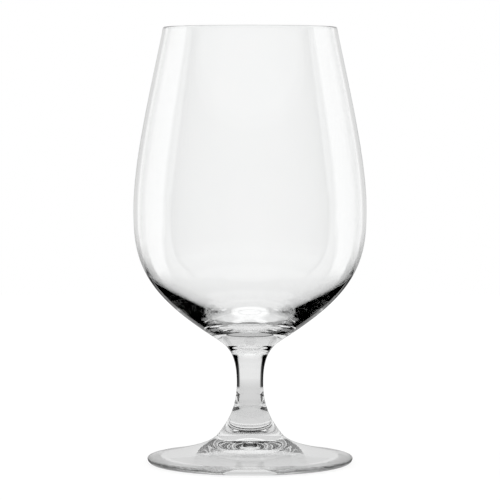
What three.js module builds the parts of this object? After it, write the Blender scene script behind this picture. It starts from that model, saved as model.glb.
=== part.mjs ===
// A stemmed water goblet in clear glass: a foot, a stem and a bowl, each turned about one
// upright axis and joined hot to the next, with the outline running smoothly through both joins.
// Millimetres, +Z up. The origin is the centre of the ring that the foot stands on.
import * as THREE from "three";

// Foot
const footRadius = 35.4;
const footHeight = 10.5; // from the ground to the join with the stem
const footTopSlope = 0.17; // fall of the top for each millimetre outwards, at the edge
const footEdgeRound = 0.5; // radius of the edge's upper corner
const footEdgeHeight = 1.55; // height of the widest point
const footRestInset = 1.4; // from the widest point in to the standing ring
const footRestWidth = 3.4; // width of the flat ring that it stands on
const footHollowRise = 7; // height of the hollow beneath, at the axis
const footHollowSlope = 0.17; // fall of the hollow for each millimetre outwards, at the ring

// Join of the foot and the stem
const footJoinRadius = 10.55;
const footJoinSlope = 0.79; // widening of the outline for each millimetre down

// Stem
const stemWaistRadius = 4.55;
const stemFlareLength = 17; // from the join with the foot up to the waist
const stemNeckLength = 13.5; // from the waist up to the join with the bowl

// Join of the stem and the bowl
const bowlJoinRadius = 9.05;
const bowlJoinSlope = 1.26; // widening of the outline for each millimetre up

// Bowl
const bowlHipRadius = 16.2; // where the underside turns from hollow to full
const bowlHipRise = 4.9; // from the join with the stem up to the hip
const bowlHipSlope = 1.45; // widening of the underside for each millimetre up, at the hip
const bowlBellyRadius = 40.1;
const bowlBellyRise = 40.9; // from the hip up to the belly
const bowlRimRadius = 29.9; // outside, where the lip starts to round over
const bowlRimRise = 63.2; // from the belly up to the top of the lip
const bowlRimSlope = 0.2; // drawing in of the wall for each millimetre up, at the rim
const bowlRimWall = 1.4;
const bowlBellyWall = 1.8;
const bowlBaseWall = 2.4; // where the wall starts to thicken into the base
const bowlBaseSlope = 0.695; // fall of the inside for each millimetre inwards, there
const bowlFloorThickness = 6.8; // glass between the join with the stem and the inside

// How full each curve is: its two handles, as shares of the distance between its ends
const footEdgeFullness = [0.4, 0.3];
const footTopFullness = [0.82, 0.11];
const footHollowFullness = [0.17, 0.57];
const stemFlareFullness = [0.36, 0.38];
const stemNeckFullness = [0.36, 0.335];
const bowlHipFullness = [0.31, 0.33];
const bowlBellyFullness = [0.525, 0.354];
const bowlWallFullness = [0.28, 0.33];
const bowlInsideFullness = [0.51, 0.4];
const bowlFloorFullness = [0.48, 0.61];

// How far up the curve from the hip to the belly the thick base starts, as a share of it
const bowlBaseShare = 0.177;

// How finely the turned surfaces are cut
const sidesRound = 60;
const longCurveSteps = 10;
const shortCurveSteps = 4;

const stemLength = stemFlareLength + stemNeckLength;
const upwards = new THREE.Vector2(0, 1);
const downwards = new THREE.Vector2(0, -1);
const outwards = new THREE.Vector2(1, 0);
const inwards = new THREE.Vector2(-1, 0);

// A point of a half section: how far out from the axis, and how high.
function point(radius, height) {
  return new THREE.Vector2(radius, height);
}

// A smooth curve from one point to another, along the heading given at each.
function sweep(start, startHeading, end, endHeading, fullness) {
  const distance = start.distanceTo(end);
  const leaving = startHeading.clone().setLength(fullness[0] * distance);
  const arriving = endHeading.clone().setLength(fullness[1] * distance);
  return new THREE.CubicBezierCurve(start, start.clone().add(leaving), end.clone().sub(arriving), end);
}

// A round corner, turning anticlockwise from one angle to the other.
function round(centre, radius, startAngle, endAngle) {
  return new THREE.EllipseCurve(centre.x, centre.y, radius, radius, startAngle, endAngle);
}

// The three kinds of stretch that an outline is made of, each as a run of points.
function straight(start, end) {
  return [start, end];
}

function long(curve) {
  return curve.getPoints(longCurveSteps);
}

function short(curve) {
  return curve.getPoints(shortCurveSteps);
}

// One piece of clear glass, turned from its half section, whose stretches follow each other
// from the axis out, up and back to the axis.
function turnedGlass(name, ...stretches) {
  const outline = [stretches[0][0], ...stretches.flatMap((points) => points.slice(1))];
  const geometry = new THREE.LatheGeometry(outline, sidesRound);
  geometry.rotateX(Math.PI / 2);
  const material = new THREE.MeshStandardMaterial({
    color: 0xf3f6f5,
    roughness: 0.03,
    metalness: 0,
    transparent: true,
    opacity: 0.35,
  });
  const mesh = new THREE.Mesh(geometry, material);
  mesh.name = name;
  return mesh;
}

function makeFoot() {
  const restOuter = point(footRadius - footRestInset, 0);
  const restInner = point(restOuter.x - footRestWidth, 0);
  const hollow = sweep(
    point(0, footHollowRise),
    outwards,
    restInner,
    point(1, -footHollowSlope),
    footHollowFullness,
  );

  const widest = point(footRadius, footEdgeHeight);
  const cornerCentre = point(footRadius - footEdgeRound, footEdgeHeight);
  const corner = round(cornerCentre, footEdgeRound, 0, Math.PI / 2 - Math.atan(footTopSlope));

  const join = point(footJoinRadius, footHeight);
  const top = sweep(
    corner.getPoint(1),
    point(-1, footTopSlope),
    join,
    point(-footJoinSlope, 1),
    footTopFullness,
  );
  return turnedGlass(
    "foot",
    long(hollow),
    straight(restInner, restOuter),
    short(sweep(restOuter, outwards, widest, upwards, footEdgeFullness)),
    short(corner),
    long(top),
    straight(join, point(0, footHeight)),
  );
}

function makeStem() {
  const footJoin = point(footJoinRadius, 0);
  const waist = point(stemWaistRadius, stemFlareLength);
  const bowlJoin = point(bowlJoinRadius, stemLength);
  return turnedGlass(
    "stem",
    straight(point(0, 0), footJoin),
    long(sweep(footJoin, point(-footJoinSlope, 1), waist, upwards, stemFlareFullness)),
    long(sweep(waist, upwards, bowlJoin, point(bowlJoinSlope, 1), stemNeckFullness)),
    straight(bowlJoin, point(0, stemLength)),
  );
}

function makeBowl() {
  const bellyHeight = bowlHipRise + bowlBellyRise;
  const join = point(bowlJoinRadius, 0);
  const hip = point(bowlHipRadius, bowlHipRise);
  const hipHeading = point(bowlHipSlope, 1);
  const belly = point(bowlBellyRadius, bellyHeight);
  const underside = sweep(hip, hipHeading, belly, upwards, bowlBellyFullness);

  // The inside follows the underside at the wall's thickness, down to where the base starts.
  const innerBelly = point(bowlBellyRadius - bowlBellyWall, bellyHeight);
  const undersideHeading = underside.getTangent(bowlBaseShare);
  const acrossWall = point(-undersideHeading.y, undersideHeading.x);
  const innerBase = underside.getPoint(bowlBaseShare).add(acrossWall.setLength(bowlBaseWall));
  const innerBaseHeading = point(-1, -bowlBaseSlope);
  const innerFloor = point(0, bowlFloorThickness);

  // The lip is a full round across the wall, which leans inwards as it reaches the rim.
  const lean = Math.atan(bowlRimSlope);
  const lipRadius = bowlRimWall / 2;
  const lipCentre = point(
    bowlRimRadius - lipRadius * Math.cos(lean),
    bellyHeight + bowlRimRise - lipRadius,
  );
  const lipOutside = round(lipCentre, lipRadius, lean, Math.PI / 2);
  const lipInside = round(lipCentre, lipRadius, Math.PI / 2, lean + Math.PI);

  const outerWall = sweep(
    belly,
    upwards,
    lipOutside.getPoint(0),
    point(-bowlRimSlope, 1),
    bowlWallFullness,
  );
  const innerWall = sweep(
    lipInside.getPoint(1),
    point(bowlRimSlope, -1),
    innerBelly,
    downwards,
    bowlWallFullness.toReversed(),
  );
  return turnedGlass(
    "bowl",
    straight(point(0, 0), join),
    short(sweep(join, point(bowlJoinSlope, 1), hip, hipHeading, bowlHipFullness)),
    long(underside),
    long(outerWall),
    short(lipOutside),
    short(lipInside),
    long(innerWall),
    long(sweep(innerBelly, downwards, innerBase, innerBaseHeading, bowlInsideFullness)),
    long(sweep(innerBase, innerBaseHeading, innerFloor, inwards, bowlFloorFullness)),
  );
}

// The bowl stands on the stem, and the stem on the foot.
const bowlOnStem = new THREE.Group();
bowlOnStem.position.z = stemLength;
bowlOnStem.add(makeBowl());

const stemOnFoot = new THREE.Group();
stemOnFoot.position.z = footHeight;
stemOnFoot.add(makeStem(), bowlOnStem);

const goblet = new THREE.Group();
goblet.name = "goblet";
goblet.add(makeFoot(), stemOnFoot);

export default goblet;
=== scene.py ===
import math

import bpy
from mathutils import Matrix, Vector


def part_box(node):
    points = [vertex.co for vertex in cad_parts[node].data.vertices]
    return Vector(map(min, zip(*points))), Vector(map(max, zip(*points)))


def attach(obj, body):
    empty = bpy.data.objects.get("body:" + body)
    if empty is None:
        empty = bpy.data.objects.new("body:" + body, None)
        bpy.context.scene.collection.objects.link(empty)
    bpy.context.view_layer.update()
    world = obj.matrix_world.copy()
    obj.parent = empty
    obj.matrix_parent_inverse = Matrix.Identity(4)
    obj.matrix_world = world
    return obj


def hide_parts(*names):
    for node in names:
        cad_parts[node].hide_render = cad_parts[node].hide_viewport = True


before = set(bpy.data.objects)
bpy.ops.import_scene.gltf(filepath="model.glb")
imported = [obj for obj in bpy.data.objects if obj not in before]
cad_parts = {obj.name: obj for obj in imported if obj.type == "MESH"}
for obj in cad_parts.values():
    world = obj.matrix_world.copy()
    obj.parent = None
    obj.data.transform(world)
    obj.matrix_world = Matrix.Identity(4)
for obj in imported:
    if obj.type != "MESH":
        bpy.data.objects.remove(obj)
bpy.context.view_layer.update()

scene = bpy.context.scene
scene.view_settings.view_transform = "Standard"
mm = 0.001
print("frame:", ", ".join(sorted(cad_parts)))

bounces = 32  # light crosses many faces of the thick base before it is out again
scene.cycles.max_bounces = bounces
scene.cycles.glossy_bounces = bounces
scene.cycles.transmission_bounces = bounces
scene.cycles.transparent_max_bounces = bounces

# places that the frame gives, in millimetres
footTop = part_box("foot")[1].z / mm  # join of the foot and the stem
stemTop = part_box("stem")[1].z / mm  # join of the stem and the bowl
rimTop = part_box("bowl")[1].z / mm
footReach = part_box("foot")[1].x / mm
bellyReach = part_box("bowl")[1].x / mm

# headings in the half section: how far out, how far up
outwards = Vector((1, 0, 0))
inwards = Vector((-1, 0, 0))
upwards = Vector((0, 0, 1))
downwards = Vector((0, 0, -1))


def heading(out, up):
    return Vector((out, 0, up)).normalized()


# a place in the half section, from millimetres
def point(radius, height):
    return Vector((radius * mm, 0, height * mm))


# one curved stretch of an outline: its two ends with the handles between them
def sweep(start, startHeading, end, endHeading, fullness):
    reach = (end - start).length
    leave = start + startHeading * reach * fullness[0]
    arrive = end - endHeading * reach * fullness[1]
    return start, leave, arrive, end


def straight(start, end):
    return start, start.lerp(end, 1 / 3), start.lerp(end, 2 / 3), end


# the place and the heading part of the way along a stretch
def partWay(stretch, share):
    row = list(stretch)
    while len(row) > 2:
        row = [a.lerp(b, share) for a, b in zip(row, row[1:])]
    return row[0].lerp(row[1], share), (row[1] - row[0]).normalized()


# a round corner about a centre, turning anticlockwise, up to a quarter turn
def corner(centre, radius, startAngle, endAngle):
    def spot(angle):
        return centre + Vector((math.cos(angle), 0, math.sin(angle))) * radius * mm

    def along(angle):
        return Vector((-math.sin(angle), 0, math.cos(angle)))

    reach = 4 / 3 * math.tan((endAngle - startAngle) / 4) * radius * mm  # handles of a round arc
    start = spot(startAngle)
    end = spot(endAngle)
    return start, start + along(startAngle) * reach, end - along(endAngle) * reach, end


turning = {
    "pointsPerStretch": 32,
    "stepsRound": 192,
    "weldGap": 1e-7,  # metres, what counts as one point when the turn closes
    "crispAngle": 30,  # degrees, above which an edge stays sharp
}


# draws a half section as a curve, spins it about the upright axis and closes the join faces
def turnGlass(name, stretches):
    bpy.ops.object.select_all(action="DESELECT")
    bpy.ops.curve.primitive_bezier_curve_add()
    drawn = bpy.context.object
    drawn.name = name
    drawn.data.resolution_u = turning["pointsPerStretch"]
    knots = drawn.data.splines[0].bezier_points
    knots.add(len(stretches) - 1)
    for knot in knots:
        knot.handle_left_type = "FREE"
        knot.handle_right_type = "FREE"
    for i, (start, leave, arrive, end) in enumerate(stretches):
        knots[i].co = start
        knots[i].handle_right = leave
        knots[i + 1].handle_left = arrive
        knots[i + 1].co = end
    bpy.ops.object.convert(target="MESH")

    bpy.ops.object.mode_set(mode="EDIT")
    bpy.ops.mesh.select_all(action="SELECT")
    bpy.ops.mesh.spin(
        steps=turning["stepsRound"],
        angle=2 * math.pi,
        center=(0, 0, 0),
        axis=(0, 0, 1),
    )
    bpy.ops.mesh.select_all(action="SELECT")
    bpy.ops.mesh.remove_doubles(threshold=turning["weldGap"])
    bpy.ops.mesh.fill_holes(sides=0)
    bpy.ops.mesh.select_all(action="SELECT")
    bpy.ops.mesh.normals_make_consistent(inside=False)
    bpy.ops.object.mode_set(mode="OBJECT")
    bpy.ops.object.shade_smooth_by_angle(angle=math.radians(turning["crispAngle"]))
    turned = bpy.context.object
    turned.data.name = name
    return turned


# a socket that can be used in sums, and that can make any other node
class Flow:
    def __init__(self, tree, socket=None):
        self.tree = tree
        self.socket = socket

    def node(self, kind, settings=None, sockets=None, out=0):
        made = self.tree.nodes.new(kind)
        for key, value in (settings or {}).items():
            setattr(made, key, value)
        for key, value in (sockets or {}).items():
            if isinstance(value, Flow):
                self.tree.links.new(value.socket, made.inputs[key])
            else:
                made.inputs[key].default_value = value
        return Flow(self.tree, made.outputs[out])

    # another output of the node that this one comes from
    def sibling(self, out):
        return Flow(self.tree, self.socket.node.outputs[out])

    def sum(self, operation, first, second):
        return self.node("ShaderNodeMath", {"operation": operation}, {0: first, 1: second})

    def __add__(self, other):
        return self.sum("ADD", self, other)

    def __radd__(self, other):
        return self.sum("ADD", other, self)

    def __sub__(self, other):
        return self.sum("SUBTRACT", self, other)

    def __rsub__(self, other):
        return self.sum("SUBTRACT", other, self)

    def __mul__(self, other):
        return self.sum("MULTIPLY", self, other)

    def __rmul__(self, other):
        return self.sum("MULTIPLY", other, self)

    def __truediv__(self, other):
        return self.sum("DIVIDE", self, other)

    def __gt__(self, other):
        return self.sum("GREATER_THAN", self, other)

    def __lt__(self, other):
        return self.sum("LESS_THAN", self, other)

    def __abs__(self):
        return self.sum("ABSOLUTE", self, 0)

    def root(self):
        return self.sum("SQRT", self, 0)

    def most(self, other):
        return self.sum("MAXIMUM", self, other)

    def least(self, other):
        return self.sum("MINIMUM", self, other)


# goes from 0 to 1 between two values
def ramp(value, start, end):
    return ((value - start) / (end - start)).most(0).least(1)


# 1 between two values and 0 outside them
def within(value, low, high):
    return (value > low) * (value < high)


def newMaterial(name):
    material = bpy.data.materials.new(name)
    material.use_nodes = True
    material.node_tree.nodes.clear()
    return material, Flow(material.node_tree)


def output(shader, kind="ShaderNodeOutputMaterial"):
    end = shader.tree.nodes.new(kind)
    shader.tree.links.new(shader.socket, end.inputs["Surface"])


# detail and roughness of the noises in the glass
fineness = {"waves": (2, 0.4), "haze": (4, 0.6), "scuff": (6, 0.7)}
mixSockets = {"first": 6, "second": 7, "result": 2}  # a Mix node's colour sockets


def noise(place, scale, kind):
    detail, roughness = fineness[kind]
    sockets = {"Vector": place, "Scale": scale, "Detail": detail, "Roughness": roughness}
    return place.node("ShaderNodeTexNoise", None, sockets)


def mixColours(share, first, second):
    sockets = {"Factor": share, mixSockets["first"]: first, mixSockets["second"]: second}
    return share.node("ShaderNodeMix", {"data_type": "RGBA"}, sockets, mixSockets["result"])


# millimetres up from the ground
def heightAt(place):
    return place.node("ShaderNodeSeparateXYZ", None, {"Vector": place}, "Z") / mm


# clear glass: faint waves in the surface and a breath of haze,
# with scuffs on what it stands on where the look asks for them, and painted shade along the edges
# where it asks for that
def clearGlass(name, look):
    material, start = newMaterial(name)
    place = start.node("ShaderNodeTexCoord", out="Object")
    drawn = start.node("ShaderNodeMapping", None, {"Vector": place, "Scale": look["waveScale"]})
    relief = noise(drawn, 1, "waves") * look["waveDepth"]
    clouds = noise(place, look["hazeScale"], "haze")
    haze = clouds * look["hazeRoughness"]
    tint = mixColours(clouds, look["tintClear"], look["tintDeep"])
    if "scuffTop" in look:
        low = heightAt(place) < look["scuffTop"]
        worn = low * noise(place, look["scuffScale"], "scuff")
        haze = haze + worn * look["scuffRoughness"]
        relief = relief + worn * look["scuffDepth"]
    # painted shade: a black tint along the edges by the angle of view, between two heights
    if "paintedShadeFrom" in look:
        high = heightAt(place)
        facing = start.node("ShaderNodeLayerWeight", out="Facing")
        edge = ramp(facing, look["paintedShadeFrom"], look["paintedShadeFull"])
        edge = edge * ramp(high, look["paintedShadeBottom"], look["paintedShadeBottom"] + look["paintedShadeFade"])
        edge = edge * ramp(high, look["paintedShadeTop"], look["paintedShadeTop"] - look["paintedShadeFade"])
        tint = mixColours(edge, tint, look["paintedShadeTint"])
    bump = start.node("ShaderNodeBump", None, {"Height": relief, "Distance": mm, "Strength": 1})
    glass = start.node("ShaderNodeBsdfPrincipled", None, {
        "Base Color": tint,
        "Roughness": haze,
        "Normal": bump,
        "IOR": look["ior"],
        "Transmission Weight": 1,
    })
    output(glass)
    return material


# the inside of a hot join, where glass runs into glass with nothing to see
def joinGlass():
    material, start = newMaterial("glass_join")
    output(start.node("ShaderNodeBsdfPrincipled", None, {
        "Base Color": (1, 1, 1, 1),
        "Alpha": 0,
        "IOR": 1,
        "Transmission Weight": 1,
    }))
    return material


join = joinGlass()
wallCorners = 4  # most corners of a face in the turned wall; a flat join face has one for each step


# the piece's own glass outside, and the clear join on its flat faces
def finishPiece(piece, node, slot, look):
    piece.data.materials.clear()
    piece.data.materials.append(clearGlass(slot, look))
    piece.data.materials.append(join)
    for face in piece.data.polygons:
        if len(face.vertices) > wallCorners:
            face.material_index = 1
    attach(piece, "root")
    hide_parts(node)
    print(piece.name, "turned:", len(piece.data.polygons), "faces")


# lengths in millimetres; a slope is the change for each millimetre along the other way;
# a fullness is the length of a curve's two handles, as shares of the distance between its ends
foot = {
    "topSlope": 0.17,
    "edgeRound": 0.5,
    "edgeHeight": 1.55,  # up to the widest point
    "restInset": 1.4,  # from the widest point in to the standing ring
    "restWidth": 3.4,
    "hollowRise": 7,
    "hollowSlope": 0.17,  # at the standing ring
    "joinRadius": 10.55,
    "joinSlope": 0.79,
    "hollowFullness": (0.17, 0.57),
    "edgeFullness": (0.4, 0.3),
    "topFullness": (0.82, 0.11),
    "glass": {
        "ior": 1.512,
        "tintClear": (1, 1, 1, 1),
        "tintDeep": (0.985, 0.992, 0.99, 1),
        "hazeRoughness": 0.02,
        "hazeScale": 90,
        "waveScale": (60, 60, 60),
        "waveDepth": 0.004,  # millimetres
        "scuffTop": 0.02,
        "scuffScale": 1500,
        "scuffRoughness": 0.4,
        "scuffDepth": 0.01,
    },
}


def makeFoot():
    restOuter = point(footReach - foot["restInset"], 0)
    restInner = point(footReach - foot["restInset"] - foot["restWidth"], 0)
    hollowTop = point(0, foot["hollowRise"])
    hollowEnd = heading(1, -foot["hollowSlope"])
    widest = point(footReach, foot["edgeHeight"])
    roundCentre = point(footReach - foot["edgeRound"], foot["edgeHeight"])
    roundEnd = math.pi / 2 - math.atan(foot["topSlope"])
    edge = corner(roundCentre, foot["edgeRound"], 0, roundEnd)
    topStart = heading(-1, foot["topSlope"])
    topEnd = heading(-foot["joinSlope"], 1)
    stemJoin = point(foot["joinRadius"], footTop)
    return turnGlass("foot_glass", [
        sweep(hollowTop, outwards, restInner, hollowEnd, foot["hollowFullness"]),
        straight(restInner, restOuter),
        sweep(restOuter, outwards, widest, upwards, foot["edgeFullness"]),
        edge,
        sweep(edge[3], topStart, stemJoin, topEnd, foot["topFullness"]),
    ])


stem = {
    "waistRadius": 4.55,
    "flareLength": 17,  # from the join with the foot up to the waist
    "bowlJoinRadius": 9.05,
    "bowlJoinSlope": 1.26,
    "flareFullness": (0.36, 0.38),
    "neckFullness": (0.36, 0.335),
    "glass": {
        "ior": 1.512,
        "tintClear": (1, 1, 1, 1),
        "tintDeep": (0.985, 0.992, 0.99, 1),
        "hazeRoughness": 0.015,
        "hazeScale": 120,
        "waveScale": (350, 350, 20),  # drawn out along the stem
        "waveDepth": 0.002,
        "paintedShadeFrom": 0.33,  # painted shade: a black tint along the edges, by how far the surface turns away
        "paintedShadeFull": 0.41,
        "paintedShadeBottom": 25.6,  # millimetres up
        "paintedShadeTop": 38.2,
        "paintedShadeFade": 0.8,
        # the colour of the painted shade
        "paintedShadeTint": (0, 0, 0, 1),
    },
}


def makeStem():
    footJoin = point(foot["joinRadius"], footTop)
    waist = point(stem["waistRadius"], footTop + stem["flareLength"])
    bowlJoin = point(stem["bowlJoinRadius"], stemTop)
    flareStart = heading(-foot["joinSlope"], 1)
    neckEnd = heading(stem["bowlJoinSlope"], 1)
    return turnGlass("stem_glass", [
        sweep(footJoin, flareStart, waist, upwards, stem["flareFullness"]),
        sweep(waist, upwards, bowlJoin, neckEnd, stem["neckFullness"]),
    ])


bowl = {
    "hipRadius": 16.2,  # where the underside turns from hollow to full
    "hipRise": 4.9,
    "hipSlope": 1.45,
    "bellyRise": 40.9,  # from the hip up to the belly
    "rimRadius": 29.9,
    "rimSlope": 0.2,
    "rimWall": 1.4,
    "bellyWall": 1.8,
    "baseWall": 2.4,  # where the wall starts to thicken into the base
    "baseSlope": 0.695,
    "baseShare": 0.177,  # how far up from the hip to the belly that is
    "floorThickness": 6.8,
    "hipFullness": (0.31, 0.33),
    "bellyFullness": (0.525, 0.354),
    "wallFullness": (0.28, 0.33),
    "insideFullness": (0.51, 0.4),
    "floorFullness": (0.48, 0.61),
    "glass": {
        "ior": 1.512,
        "tintClear": (1, 1, 1, 1),
        "tintDeep": (0.985, 0.992, 0.99, 1),
        "hazeRoughness": 0.01,
        "hazeScale": 60,
        "waveScale": (40, 40, 90),
        "waveDepth": 0.003,
    },
}


def makeBowl():
    stemJoin = point(stem["bowlJoinRadius"], stemTop)
    joinHeading = heading(stem["bowlJoinSlope"], 1)
    hip = point(bowl["hipRadius"], stemTop + bowl["hipRise"])
    hipHeading = heading(bowl["hipSlope"], 1)
    bellyHeight = stemTop + bowl["hipRise"] + bowl["bellyRise"]
    belly = point(bellyReach, bellyHeight)
    innerBelly = point(bellyReach - bowl["bellyWall"], bellyHeight)

    # the inside follows the underside at the wall's thickness, down to where the base starts
    underside = sweep(hip, hipHeading, belly, upwards, bowl["bellyFullness"])
    outerBase, along = partWay(underside, bowl["baseShare"])
    innerBase = outerBase + Vector((-along.z, 0, along.x)) * bowl["baseWall"] * mm
    baseHeading = heading(-1, -bowl["baseSlope"])
    floor = point(0, stemTop + bowl["floorThickness"])

    # the lip is a full round across the wall
    lean = math.atan(bowl["rimSlope"])
    lipRadius = bowl["rimWall"] / 2
    lipCentre = point(bowl["rimRadius"] - lipRadius * math.cos(lean), rimTop - lipRadius)
    lipOutside = corner(lipCentre, lipRadius, lean, math.pi / 2)
    lipInside = corner(lipCentre, lipRadius, math.pi / 2, lean + math.pi)
    rimUp = heading(-bowl["rimSlope"], 1)
    wall = bowl["wallFullness"]
    return turnGlass("bowl_glass", [
        sweep(stemJoin, joinHeading, hip, hipHeading, bowl["hipFullness"]),
        underside,
        sweep(belly, upwards, lipOutside[0], rimUp, wall),
        lipOutside,
        lipInside,
        sweep(lipInside[3], -rimUp, innerBelly, downwards, wall[::-1]),
        sweep(innerBelly, downwards, innerBase, baseHeading, bowl["insideFullness"]),
        sweep(innerBase, baseHeading, floor, inwards, bowl["floorFullness"]),
    ])


finishPiece(makeFoot(), "foot", "foot_glass", foot["glass"])
finishPiece(makeStem(), "stem", "stem_glass", stem["glass"])
finishPiece(makeBowl(), "bowl", "bowl_glass", bowl["glass"])

# the studio: angles in degrees, from straight behind the goblet or up from level;
# distances in metres from its axis; a fade comes up from its first distance to its second
studio = {
    "floorRadius": 0.8,
    "floorSides": 96,
    "floorDrop": 0.0003,  # keeps the floor's face clear of the standing ring
    "floorGlow": 0.8,  # the floor's own white
    "floorDiffuse": 0.25,  # the part that the goblet's shadow can take away
    "footRadius": 0.0356,  # the floor that the foot covers
    "highAngle": 20,
    "ceilingAngle": 45,
}

# what tells kinds of ray apart; the counts are whole numbers, so each limit lies between two
rays = {
    "oneTurn": 0.5,  # turned back inside the glass at least once
    "twoTurns": 1.5,
    "hollow": 2.5,  # faces of glass, more than a solid piece has in the way
    "baseAndFoot": 4.5,  # faces of glass, through the thick base and the foot
}


def sine(degrees):
    return math.sin(math.radians(degrees))


# how far round a direction or a place lies (side is 1 square to the side, rear is 1 straight behind),
# how far out and how high
def around(start, where):
    x = start.node("ShaderNodeSeparateXYZ", None, {"Vector": where}, "X")
    y = x.sibling("Y")
    reach = (x * x + y * y).root()
    return abs(x) / reach, y / reach, reach, x.sibling("Z")


# straight through the bowl
clearLight = {
    "nearGlow": 0.9,  # painted shade on the floor round the foot, which comes up to white further off
    "whiteFade": (0.052, 0.6),
    "footGlow": 0.62,  # painted shadow on the floor under the foot
    "paintedLightBand": 1.35,  # a painted band of light on the floor round the foot, in place of light that the glass gathers
    "paintedLightBandFade": (0.052, 0.044),
    "shadeRadius": 0.028,  # the shade under the foot that shows through the thick base
    "shadeGlow": 0.05,
}


def clearOnFloor(reach, faces):
    near = clearLight["nearGlow"]
    # painted shade round the foot that comes up to white, and a painted band of light round the foot
    white = near + ramp(reach, *clearLight["whiteFade"]) * (1 - near)
    white = white + ramp(reach, *clearLight["paintedLightBandFade"]) * (clearLight["paintedLightBand"] - near)
    outside = reach > studio["footRadius"]
    # the painted shadow under the foot
    wall = outside * white + (1 - outside) * clearLight["footGlow"]
    shade = reach < clearLight["shadeRadius"]
    throughBase = clearLight["paintedLightBand"] - shade * (clearLight["paintedLightBand"] - clearLight["shadeGlow"])
    base = faces > rays["baseAndFoot"]
    return base * throughBase + (1 - base) * wall


# straight through the solid stem or foot
solidLight = {
    "glow": 0.85,
    "nearGlow": 0.62,  # painted shade on the floor at the axis, coming up to the full glow at the far reach
    "farReach": 0.5,
    "flagAngles": (36, 75),  # a dark strip on the floor at either side of the foot
    "flagReach": (0.037, 0.08),
}


def solidOnFloor(side, reach):
    near = solidLight["nearGlow"]
    # painted shade on the floor, darkest at the axis
    glow = near + (reach / solidLight["farReach"]).least(1) * (solidLight["glow"] - near)
    flag = within(side, *map(sine, solidLight["flagAngles"])) * within(reach, *solidLight["flagReach"])
    return (1 - flag) * glow


# turned back once, as in the edges of the wall
edgeLight = {
    "frontGlow": 0.42,  # the room in front of the goblet
    "frontHighGlow": 0.65,
    "frontFade": (0.08, 0.2),
    "ceilingGlow": 1,
    "rearAngle": 85,  # the white behind reaches round to here
    "dimAngle": 30,  # and is dimmer inside this
    "dimGlow": 0.68,
    "tableGlow": 0.5,  # the near part of the floor behind
    "tableFade": (0.28, 0.22),
    "backdropAngle": 39,
    "backdropGlow": 0.7,
    "backdropFade": (0.3, 0.7),
    "cornerFade": (0.2, 0.5),  # beyond the backdrop
    "sideAngle": 58,  # and beyond that
    "sideFade": (0.09, 0.17),
    "footGlow": 0.65,  # the floor under the foot
}


# the front room's glow, where the white behind is, and where that is dimmer
def edgeZones(side, rear):
    front = (0 - rear).most(0).root() * edgeLight["frontGlow"]
    white = rear > sine(90 - edgeLight["rearAngle"])
    dim = side < sine(edgeLight["dimAngle"])
    return front, white, dim


def edgeOnFloor(side, rear, reach):
    front, white, dim = edgeZones(side, rear)
    table = dim * ramp(reach, *edgeLight["tableFade"]) * edgeLight["tableGlow"]
    backdrop = ramp(reach, *edgeLight["backdropFade"]) * edgeLight["backdropGlow"]
    rearmost = side < sine(edgeLight["backdropAngle"])
    beside = side > sine(edgeLight["sideAngle"])
    flank = ramp(reach, *edgeLight["cornerFade"]).most(beside * ramp(reach, *edgeLight["sideFade"]))
    seen = front * ramp(reach, *edgeLight["frontFade"])
    seen = seen + white * (rearmost * (table + backdrop) + (1 - rearmost) * flank)
    return seen.most((reach < studio["footRadius"]) * edgeLight["footGlow"])


def edgeInRoom(side, rear, high, ceiling):
    front, white, dim = edgeZones(side, rear)
    frontHigh = (1 - (rear > 0)) * high * edgeLight["frontHighGlow"]
    seen = front.most(frontHigh).most(ceiling * edgeLight["ceilingGlow"])
    return seen.most(white * (1 - dim * (1 - edgeLight["dimGlow"])))


# turned back more than once
deepLight = {
    "angle": 36,  # the white behind reaches round to here
    "glow": 0.85,
    "cornerAngle": 75,  # and high up to here
    "highGlow": 0.35,
    "ceilingGlow": 0.9,
    "floorReach": 0.4,  # the floor behind is white out to here
    "nearReach": 0.08,  # and dimmer inside this
    "nearGlow": 0.5,
}


def deepOnFloor(rear, reach):
    glow = (reach > deepLight["nearReach"]).most(deepLight["nearGlow"])
    seen = (rear > 0) * (reach < deepLight["floorReach"]) * glow
    return seen.most((reach < studio["footRadius"]) * deepLight["glow"])


def deepInRoom(side, rear, high, ceiling):
    upper = (high * deepLight["highGlow"]).most(ceiling * deepLight["ceilingGlow"])
    inside = 1 - (side > sine(deepLight["angle"]))
    flank = within(side, sine(deepLight["angle"]), sine(deepLight["cornerAngle"]))
    return (rear > 0) * (inside * deepLight["glow"] + flank * upper)


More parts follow.
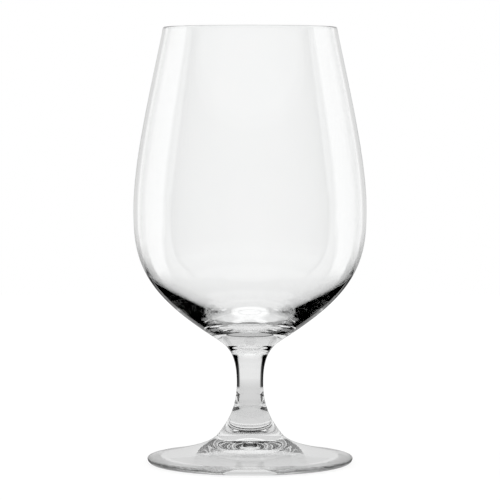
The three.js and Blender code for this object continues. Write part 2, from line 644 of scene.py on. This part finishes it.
# what the glass shows of the floor or the room, by how a ray has come through it
def glassSees(start, where, onFloor):
    side, rear, reach, up = around(start, where)
    camera = start.node("ShaderNodeLightPath", out="Is Camera Ray")
    diffuse = camera.sibling("Is Diffuse Ray")
    faces = camera.sibling("Transmission Depth")
    turns = camera.sibling("Glossy Depth")
    direct = turns < rays["oneTurn"]
    clear = direct * (faces > rays["hollow"])
    solid = direct * (faces < rays["hollow"])
    once = within(turns, rays["oneTurn"], rays["twoTurns"])
    deep = turns > rays["twoTurns"]
    if onFloor:
        seen = clear * clearOnFloor(reach, faces) + solid * solidOnFloor(side, reach)
        seen = seen + once * edgeOnFloor(side, rear, reach) + deep * deepOnFloor(rear, reach)
    else:
        high = up > sine(studio["highAngle"])
        ceiling = up > sine(studio["ceilingAngle"])
        seen = clear + solid * solidLight["glow"]
        seen = seen + once * edgeInRoom(side, rear, high, ceiling)
        seen = seen + deep * deepInRoom(side, rear, high, ceiling)
    return camera, diffuse, (1 - camera) * (1 - diffuse) * seen


def makeFloor():
    bpy.ops.object.select_all(action="DESELECT")
    bpy.ops.mesh.primitive_circle_add(
        vertices=studio["floorSides"],
        radius=studio["floorRadius"],
        fill_type="NGON",
    )
    floor = bpy.context.object
    floor.name = "studio_floor"
    floor.location.z = -studio["floorDrop"]
    material, start = newMaterial("studio_floor")
    place = start.node("ShaderNodeTexCoord", out="Object")
    camera, _, glass = glassSees(start, place, True)
    seen = camera * studio["floorGlow"] + glass
    glow = start.node("ShaderNodeEmission", None, {"Color": (1, 1, 1, 1), "Strength": seen})
    matt = start.node("ShaderNodeBsdfDiffuse", None, {"Color": camera * studio["floorDiffuse"]})
    output(start.node("ShaderNodeAddShader", None, {0: glow, 1: matt}))
    material.cycles.emission_sampling = "NONE"  # clear glass finds its own light
    floor.data.materials.append(material)


def makeRoom():
    world = bpy.data.worlds.new("studio_surround")
    world.use_nodes = True
    world.node_tree.nodes.clear()
    world.cycles.sampling_method = "NONE"
    scene.world = world
    start = Flow(world.node_tree)
    direction = start.node("ShaderNodeTexCoord", out="Generated")
    camera, diffuse, glass = glassSees(start, direction, False)
    seen = camera + diffuse + glass
    white = start.node("ShaderNodeBackground", None, {"Color": (1, 1, 1, 1), "Strength": seen})
    output(white, "ShaderNodeOutputWorld")


viewpoint = {
    "distance": 0.936,  # metres in front of the goblet
    "height": 0.1266,
    "tilt": 3.251,  # degrees down
    "lens": 196.06,  # millimetres
    "sensor": 36,
}


def makeCamera():
    bpy.ops.object.camera_add(
        location=(0, -viewpoint["distance"], viewpoint["height"]),
        rotation=(math.radians(90 - viewpoint["tilt"]), 0, 0),
    )
    camera = bpy.context.object
    camera.data.sensor_width = viewpoint["sensor"]
    camera.data.lens = viewpoint["lens"]
    scene.camera = camera


makeFloor()
makeRoom()
makeCamera()
print("studio set")
